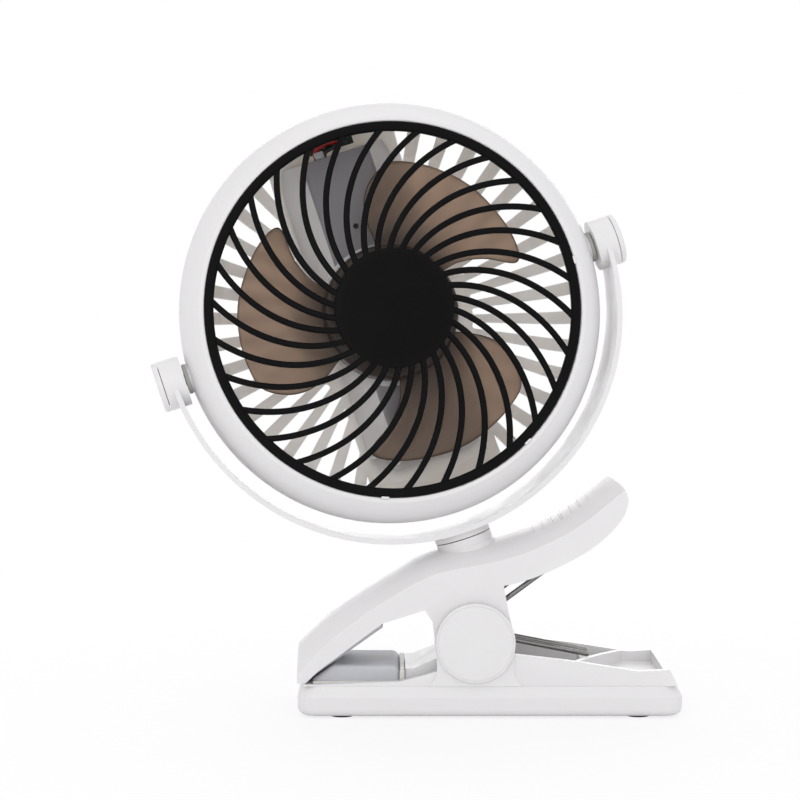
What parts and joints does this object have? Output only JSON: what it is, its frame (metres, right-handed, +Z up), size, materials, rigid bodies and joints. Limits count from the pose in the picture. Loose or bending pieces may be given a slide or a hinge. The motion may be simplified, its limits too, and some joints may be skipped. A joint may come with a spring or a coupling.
{
  "type": "clip fan",
  "caption": "Battery clip fan: round head with a spiral-rib front grille, carried in a swivelling yoke on a spring-loaded clip that also stands on a table.",
  "frame": {"origin": "centre of the clip base's flat underside", "axes": "+X from the jaw to the handle, +Y away from the fan's front, +Z up"},
  "size_m": [0.1802, 0.0626, 0.2078],
  "materials": {
    "white_shell": "satin moulded plastic",
    "white_slats": "satin moulded plastic",
    "black_grille": "gloss moulded plastic",
    "smoke_blade": "clear smoke-tinted plastic",
    "grey_housing": "fine matt moulded plastic",
    "grey_silicone": "soft matt silicone",
    "cream_plastic": "satin moulded plastic",
    "spacer_rubber": "matt rubber",
    "black_rubber": "matt rubber",
    "steel": "plain steel",
    "spring_steel": "oil-dark spring steel",
    "board_green": "lacquered board",
    "cell_wrap": "shrink wrap",
    "red_wire": "soft insulation",
    "black_wire": "soft insulation",
    "lamp_lens": "diffusing lens"
  },
  "bodies": {
    "base": {"clip_base": "white_shell", "rubber_feet": "black_rubber", "pivot_axle": "steel", "pivot_caps": "white_shell", "lower_jaw_pad": "grey_silicone", "pad_tray": "cream_plastic", "torsion_spring": "spring_steel"},
    "arm": {"clip_arm": "white_shell", "upper_jaw_pad": "grey_silicone"},
    "yoke": {"yoke": "white_shell", "neck_washer": "steel", "neck_screw": "steel", "knob_cap_left": "white_shell", "knob_cap_right": "white_shell"},
    "head": {"bezel": "white_shell", "spacer_left": "spacer_rubber", "spacer_right": "spacer_rubber", "pivot_screws": "steel", "front_grille": "black_grille", "rear_shell": "white_slats", "core_housing": "grey_housing", "rear_cover": "white_shell", "cover_screws": "steel", "indicator_light": "lamp_lens", "battery_cell": "cell_wrap", "control_board": "board_green", "tact_switch": "black_rubber", "port_board": "board_green", "charging_port": "steel", "lead_red": "red_wire", "lead_black": "black_wire", "motor_mount": "white_slats", "motor_screws": "steel", "motor_can": "steel"},
    "button": {"power_button": "white_shell"},
    "rotor": {"motor_shaft": "steel", "propeller": "smoke_blade"}
  },
  "joints": [
    {"name": "clip_hinge", "type": "hinge", "parent": "base", "child": "arm", "pos_m": [-0.005, 0, 0.0247], "axis": [0, 1, 0], "range_deg": [0, 35], "stiffness_Nm_per_rad": 0.9, "springref_deg": -40.11, "deforming": ["torsion_spring"]},
    {"name": "neck_swivel", "type": "hinge", "parent": "arm", "child": "yoke", "pos_m": [-0.0337, 0, 0.13524], "axis": [-0.309, 0, 0.9511], "continuous": true},
    {"name": "head_tilt", "type": "hinge", "parent": "yoke", "child": "head", "pos_m": [-0.0337, 0, 0.13524], "axis": [0.9458, 0.1045, 0.3073], "continuous": true},
    {"name": "fan_spin", "type": "hinge", "parent": "head", "child": "rotor", "pos_m": [-0.0337, 0, 0.13524], "axis": [0.0749, -0.9915, 0.1068], "continuous": true},
    {"name": "button_press", "type": "slide", "parent": "head", "child": "button", "axis": [0.0749, -0.9915, 0.1068], "range_m": [0, 0.0004], "stiffness_N_per_m": 300, "springref_m": -0.0006}
  ]
}
